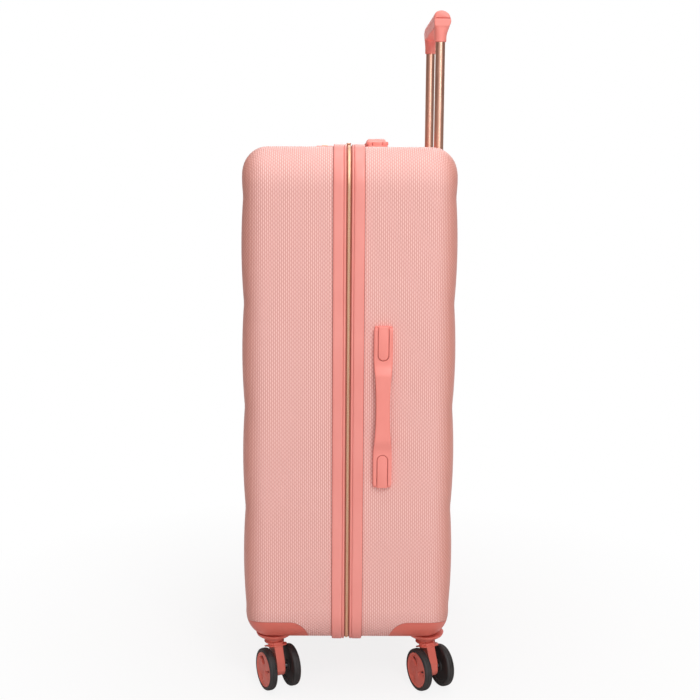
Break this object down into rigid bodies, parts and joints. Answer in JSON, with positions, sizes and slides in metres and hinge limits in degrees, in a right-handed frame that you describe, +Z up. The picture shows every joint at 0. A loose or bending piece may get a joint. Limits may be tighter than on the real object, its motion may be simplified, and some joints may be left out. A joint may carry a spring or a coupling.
{
  "type": "hard shell spinner suitcase",
  "caption": "Large upright hard-shell suitcase with ribbed faces, a zipped rim, twin-wheel swivel casters, carry handles, a combination lock and a telescopic trolley.",
  "frame": {"origin": "on the floor, under the middle of the case, in the plane where the two halves meet", "axes": "+X towards the side with the carry handle, +Y towards the rear half with the trolley, +Z up"},
  "size_m": [0.527, 0.2986, 0.9585],
  "materials": {
    "shell": "embossed woven grain",
    "band": "satin",
    "housing": "satin",
    "handle": "satin",
    "tube": "rose gold anodised",
    "inner_tube_holder": "brushed",
    "inner_plastic": "matt",
    "tyre": "matt",
    "zip": "woven tape with gold teeth",
    "gold": "polished",
    "lining": "woven polyester",
    "strap_web": "webbing",
    "steel": "zinc plated"
  },
  "bodies": {
    "rear_case": {"rear_shell": "shell", "rear_band": "band", "rear_zip_tape": "zip", "rear_lining": "lining", "packing_straps": "strap_web", "hinge_gusset": "zip", "trolley_cup": "handle", "trolley_outer_tubes": "inner_tube_holder", "trolley_foot": "inner_plastic", "top_handle_mounts": "handle", "side_handle_mounts": "handle", "rear_screws": "steel", "caster_housing_rl": "housing", "caster_housing_rr": "housing"},
    "front_case": {"front_shell": "shell", "front_band": "band", "front_zip_tape": "zip", "front_lining": "lining", "lock_body": "handle", "front_screws": "steel", "caster_housing_fl": "housing", "caster_housing_fr": "housing"},
    "trolley": {"trolley_inner_tubes": "tube", "trolley_grip": "handle"},
    "trolley_release": {"trolley_button": "handle", "trolley_rods": "steel"},
    "top_handle": {"top_handle_strap": "handle"},
    "side_handle": {"side_handle_strap": "handle"},
    "caster_fl": {"fork_fl": "housing", "caster_pins_fl": "steel"},
    "wheel_fl_a": {"tyre_fl_a": "tyre", "hub_fl_a": "housing"},
    "wheel_fl_b": {"tyre_fl_b": "tyre", "hub_fl_b": "housing"},
    "caster_fr": {"fork_fr": "housing", "caster_pins_fr": "steel"},
    "wheel_fr_a": {"tyre_fr_a": "tyre", "hub_fr_a": "housing"},
    "wheel_fr_b": {"tyre_fr_b": "tyre", "hub_fr_b": "housing"},
    "caster_rl": {"fork_rl": "housing", "caster_pins_rl": "steel"},
    "wheel_rl_a": {"tyre_rl_a": "tyre", "hub_rl_a": "housing"},
    "wheel_rl_b": {"tyre_rl_b": "tyre", "hub_rl_b": "housing"},
    "caster_rr": {"fork_rr": "housing", "caster_pins_rr": "steel"},
    "wheel_rr_a": {"tyre_rr_a": "tyre", "hub_rr_a": "housing"},
    "wheel_rr_b": {"tyre_rr_b": "tyre", "hub_rr_b": "housing"},
    "dial_1": {"lock_dial_1": "gold"},
    "dial_2": {"lock_dial_2": "gold"},
    "dial_3": {"lock_dial_3": "gold"},
    "lock_slide": {"lock_button": "gold"},
    "slider_left": {"zip_slider_left": "gold"},
    "pull_left": {"zip_pull_left": "gold"},
    "slider_right": {"zip_slider_right": "gold"},
    "pull_right": {"zip_pull_right": "gold"}
  },
  "joints": [
    {"name": "front_case_hinge", "type": "hinge", "parent": "rear_case", "child": "front_case", "pos_m": [-0.2595, 0, 0.4], "axis": [0, 0, -1], "range_deg": [0, 180]},
    {"name": "trolley_slide", "type": "slide", "parent": "rear_case", "child": "trolley", "axis": [0, 0, 1], "range_m": [-0.167, 0.08]},
    {"name": "trolley_button_press", "type": "slide", "parent": "trolley", "child": "trolley_release", "axis": [0, 0, -1], "range_m": [0, 0.004], "stiffness_N_per_m": 600, "springref_m": -0.003},
    {"name": "top_handle_lift", "type": "slide", "parent": "rear_case", "child": "top_handle", "axis": [0, 0, 1], "range_m": [0, 0.012], "stiffness_N_per_m": 300},
    {"name": "side_handle_lift", "type": "slide", "parent": "rear_case", "child": "side_handle", "axis": [1, 0, 0], "range_m": [0, 0.012], "stiffness_N_per_m": 300},
    {"name": "swivel_fl", "type": "hinge", "parent": "front_case", "child": "caster_fl", "pos_m": [-0.202, -0.104, 0.07], "axis": [0, 0, 1], "continuous": true},
    {"name": "spin_fl_a", "type": "hinge", "parent": "caster_fl", "child": "wheel_fl_a", "pos_m": [-0.18851, -0.09745, 0.03], "axis": [-0.4368, 0.8996, 0], "continuous": true},
    {"name": "spin_fl_b", "type": "hinge", "parent": "caster_fl", "child": "wheel_fl_b", "pos_m": [-0.18851, -0.09745, 0.03], "axis": [-0.4368, 0.8996, 0], "continuous": true},
    {"name": "swivel_fr", "type": "hinge", "parent": "front_case", "child": "caster_fr", "pos_m": [0.202, -0.104, 0.07], "axis": [0, 0, 1], "continuous": true},
    {"name": "spin_fr_a", "type": "hinge", "parent": "caster_fr", "child": "wheel_fr_a", "pos_m": [0.21549, -0.09745, 0.03], "axis": [-0.4368, 0.8996, 0], "continuous": true},
    {"name": "spin_fr_b", "type": "hinge", "parent": "caster_fr", "child": "wheel_fr_b", "pos_m": [0.21549, -0.09745, 0.03], "axis": [-0.4368, 0.8996, 0], "continuous": true},
    {"name": "swivel_rl", "type": "hinge", "parent": "rear_case", "child": "caster_rl", "pos_m": [-0.202, 0.114, 0.07], "axis": [0, 0, 1], "continuous": true},
    {"name": "spin_rl_a", "type": "hinge", "parent": "caster_rl", "child": "wheel_rl_a", "pos_m": [-0.18851, 0.12055, 0.03], "axis": [-0.4368, 0.8996, 0], "continuous": true},
    {"name": "spin_rl_b", "type": "hinge", "parent": "caster_rl", "child": "wheel_rl_b", "pos_m": [-0.18851, 0.12055, 0.03], "axis": [-0.4368, 0.8996, 0], "continuous": true},
    {"name": "swivel_rr", "type": "hinge", "parent": "rear_case", "child": "caster_rr", "pos_m": [0.202, 0.114, 0.07], "axis": [0, 0, 1], "continuous": true},
    {"name": "spin_rr_a", "type": "hinge", "parent": "caster_rr", "child": "wheel_rr_a", "pos_m": [0.21549, 0.12055, 0.03], "axis": [-0.4368, 0.8996, 0], "continuous": true},
    {"name": "spin_rr_b", "type": "hinge", "parent": "caster_rr", "child": "wheel_rr_b", "pos_m": [0.21549, 0.12055, 0.03], "axis": [-0.4368, 0.8996, 0], "continuous": true},
    {"name": "dial_1_turn", "type": "hinge", "parent": "front_case", "child": "dial_1", "pos_m": [-0.024, -0.0355, 0.7635], "axis": [1, 0, 0], "continuous": true},
    {"name": "dial_2_turn", "type": "hinge", "parent": "front_case", "child": "dial_2", "pos_m": [-0.014, -0.0355, 0.7635], "axis": [1, 0, 0], "continuous": true},
    {"name": "dial_3_turn", "type": "hinge", "parent": "front_case", "child": "dial_3", "pos_m": [-0.004, -0.0355, 0.7635], "axis": [1, 0, 0], "continuous": true},
    {"name": "lock_button_slide", "type": "slide", "parent": "front_case", "child": "lock_slide", "axis": [1, 0, 0], "range_m": [0, 0.004], "stiffness_N_per_m": 150},
    {"name": "zip_slide_left", "type": "slide", "parent": "rear_case", "child": "slider_left", "axis": [-1, 0, 0], "range_m": [0, 0.12]},
    {"name": "zip_pull_left_flip", "type": "hinge", "parent": "slider_left", "child": "pull_left", "pos_m": [-0.058, 0, 0.7723], "axis": [0, 1, 0], "range_deg": [0, 150]},
    {"name": "zip_slide_right", "type": "slide", "parent": "rear_case", "child": "slider_right", "axis": [1, 0, 0], "range_m": [0, 0.12]},
    {"name": "zip_pull_right_flip", "type": "hinge", "parent": "slider_right", "child": "pull_right", "pos_m": [0.058, 0, 0.7723], "axis": [0, -1, 0], "range_deg": [0, 150]}
  ]
}
